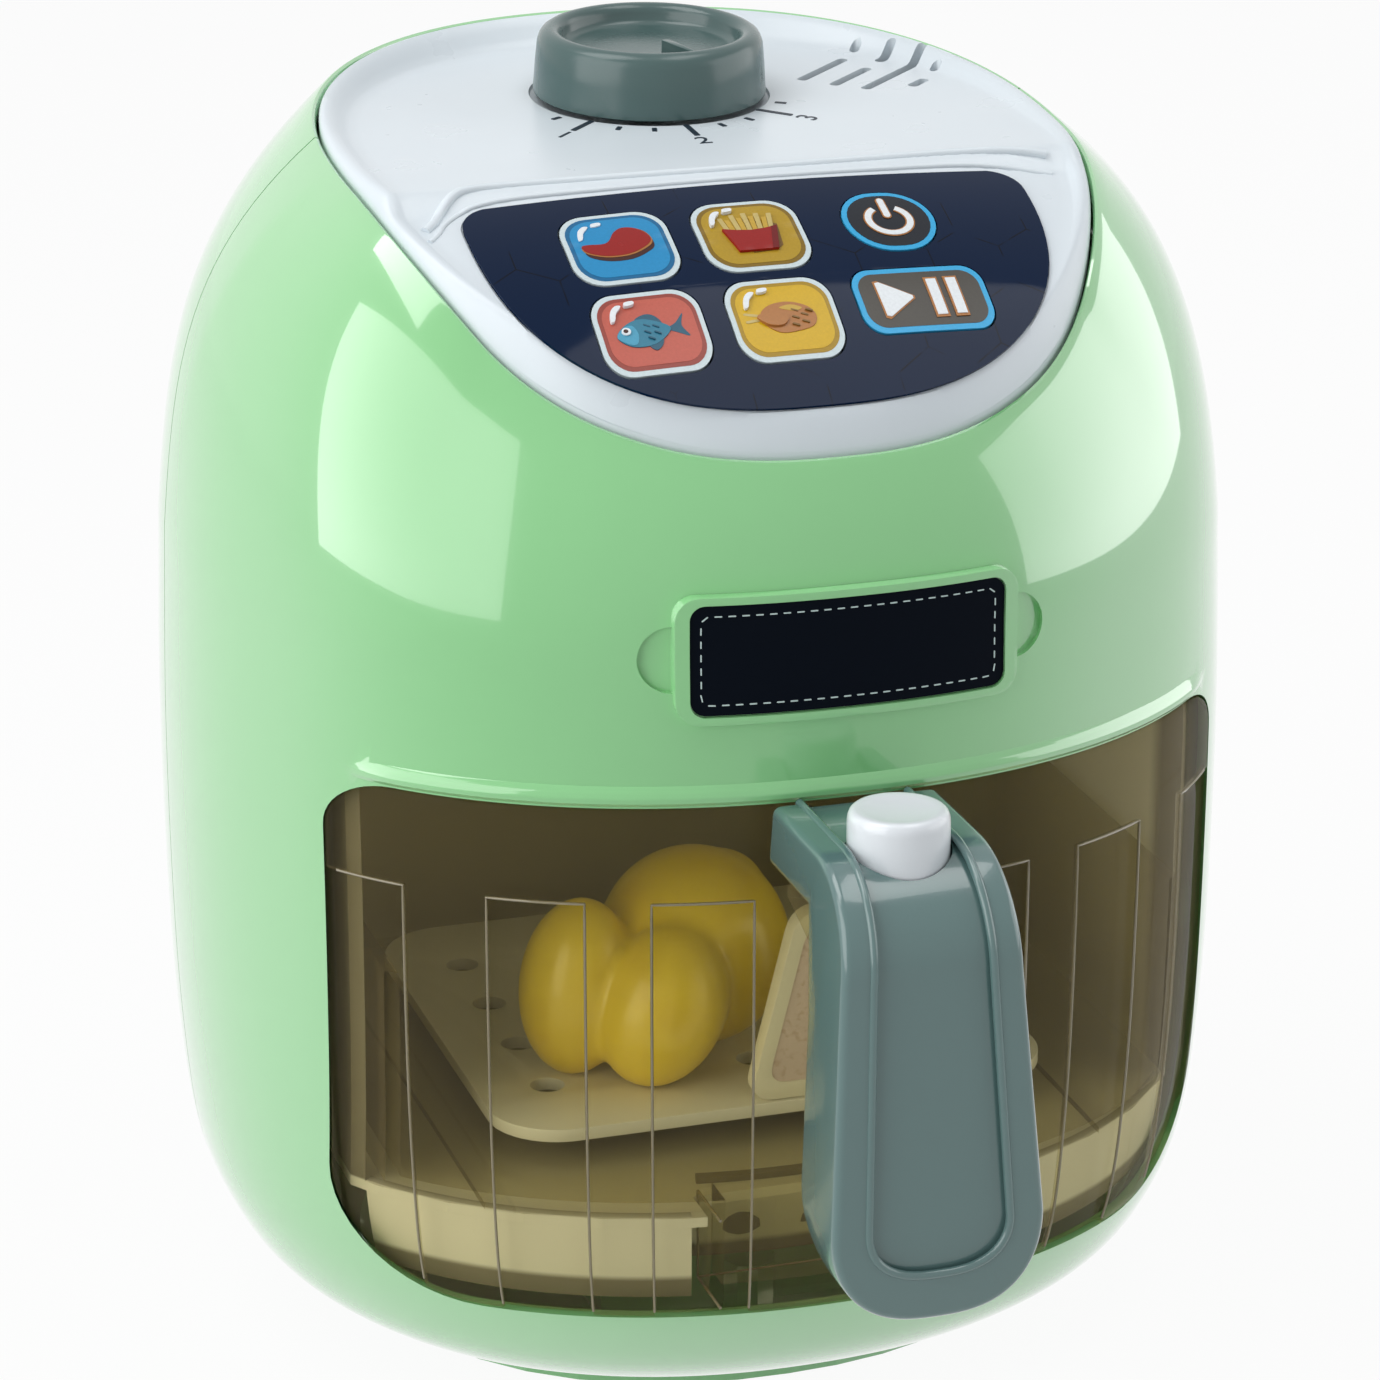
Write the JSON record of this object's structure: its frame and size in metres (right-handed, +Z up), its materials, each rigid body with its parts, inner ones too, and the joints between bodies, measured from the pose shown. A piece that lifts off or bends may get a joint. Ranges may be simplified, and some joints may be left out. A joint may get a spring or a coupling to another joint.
{
  "type": "toy air fryer",
  "caption": "Play air fryer: rounded housing, see-through pull-out drawer with handle and release button, toy food on a rack, dial timer and sprung keys.",
  "frame": {"origin": "on the floor, at the middle of the object's overall box", "axes": "+Z up; the front, with the drawer and handle, faces -Y; +X is to the viewer's right when the front is looked at"},
  "size_m": [0.1638, 0.1919, 0.1975],
  "materials": {
    "housing": "satin mint green moulding",
    "panel": "satin cool white moulding",
    "overlay": "printed navy film",
    "label": "printed dark navy label, left bare",
    "knob": "grey green moulding",
    "smoke": "clear smoke-brown moulding",
    "steel": "zinc plated",
    "brass_contact": "nickel plated spring steel",
    "cream": "cream moulding",
    "board": "green circuit board",
    "lens": "amber lens",
    "key_blue": "blue key face",
    "key_yellow": "yellow key face",
    "key_coral": "coral key face",
    "key_navy": "navy key face",
    "white": "white moulding",
    "speaker": "black speaker",
    "rubber": "grey silicone rubber",
    "bird": "yellow moulding",
    "toast": "cream and pink moulding",
    "cell": "black cell sleeve"
  },
  "bodies": {
    "housing": {"front_shell": "housing", "rear_shell": "housing", "base_plate": "housing", "battery_door": "housing", "chamber_liner": "housing", "top_panel": "panel", "control_overlay": "overlay", "name_plate": "label", "key_mat": "rubber", "control_board": "board", "click_spring": "cream", "speaker": "speaker", "lamp_lens": "lens", "lamp_board": "board", "front_contact": "brass_contact", "rear_contact": "brass_contact", "body_screw_1": "steel", "body_screw_2": "steel", "body_screw_3": "steel", "body_screw_4": "steel", "board_screw_1": "steel", "base_screw_1": "steel", "board_screw_2": "steel", "base_screw_2": "steel", "door_screw": "steel", "battery_cell_1": "cell", "battery_cell_2": "cell", "battery_cell_3": "cell"},
    "drawer": {"drawer_pan": "smoke", "handle_shell": "knob", "handle_cover": "knob", "handle_screw_1": "steel", "handle_screw_2": "steel", "neck_screw_1": "steel", "neck_screw_2": "steel", "button_spring": "steel"},
    "timer": {"timer_knob": "knob", "timer_shaft": "steel"},
    "button": {"release_button": "white"},
    "rack": {"rack": "cream"},
    "chicken": {"toy_chicken": "bird"},
    "toast": {"toy_toast": "toast"},
    "steak_key": {"steak_key": "key_blue"},
    "chips_key": {"chips_key": "key_yellow"},
    "fish_key": {"fish_key": "key_coral"},
    "poultry_key": {"poultry_key": "key_yellow"},
    "power_key": {"power_key": "key_navy"},
    "play_key": {"play_key": "key_navy"}
  },
  "joints": [
    {"name": "drawer_slide", "type": "slide", "parent": "housing", "child": "drawer", "axis": [0, -1, 0], "range_m": [0, 0.11]},
    {"name": "timer_turn", "type": "hinge", "parent": "housing", "child": "timer", "pos_m": [0, 0.0384, 0.1864], "axis": [0, -0.0558, 0.9984], "range_deg": [-75, 45]},
    {"name": "button_press", "type": "slide", "parent": "drawer", "child": "button", "axis": [0, 0, -1], "range_m": [0, 0.002], "stiffness_N_per_m": 400, "springref_m": -0.002, "deforming": ["button_spring"]},
    {"name": "rack_lift", "type": "slide", "parent": "drawer", "child": "rack", "axis": [0, 0, 1], "range_m": [0, 0.012]},
    {"name": "chicken_lift", "type": "slide", "parent": "rack", "child": "chicken", "axis": [0, 0, 1], "range_m": [0, 0.012]},
    {"name": "toast_lift", "type": "slide", "parent": "rack", "child": "toast", "axis": [0, 0, 1], "range_m": [0, 0.012]},
    {"name": "steak_key_press", "type": "slide", "parent": "housing", "child": "steak_key", "axis": [0.028, 0.4009, -0.9157], "range_m": [0, 0.0008], "stiffness_N_per_m": 400, "springref_m": -0.001},
    {"name": "chips_key_press", "type": "slide", "parent": "housing", "child": "chips_key", "axis": [0.0035, 0.401, -0.9161], "range_m": [0, 0.0008], "stiffness_N_per_m": 400, "springref_m": -0.001},
    {"name": "fish_key_press", "type": "slide", "parent": "housing", "child": "fish_key", "axis": [0.0255, 0.5509, -0.8342], "range_m": [0, 0.0008], "stiffness_N_per_m": 400, "springref_m": -0.001},
    {"name": "poultry_key_press", "type": "slide", "parent": "housing", "child": "poultry_key", "axis": [0.0032, 0.551, -0.8345], "range_m": [0, 0.0008], "stiffness_N_per_m": 400, "springref_m": -0.001},
    {"name": "power_key_press", "type": "slide", "parent": "housing", "child": "power_key", "axis": [-0.0236, 0.4009, -0.9158], "range_m": [0, 0.0008], "stiffness_N_per_m": 400, "springref_m": -0.001},
    {"name": "play_key_press", "type": "slide", "parent": "housing", "child": "play_key", "axis": [-0.0214, 0.5509, -0.8343], "range_m": [0, 0.0008], "stiffness_N_per_m": 400, "springref_m": -0.001}
  ]
}
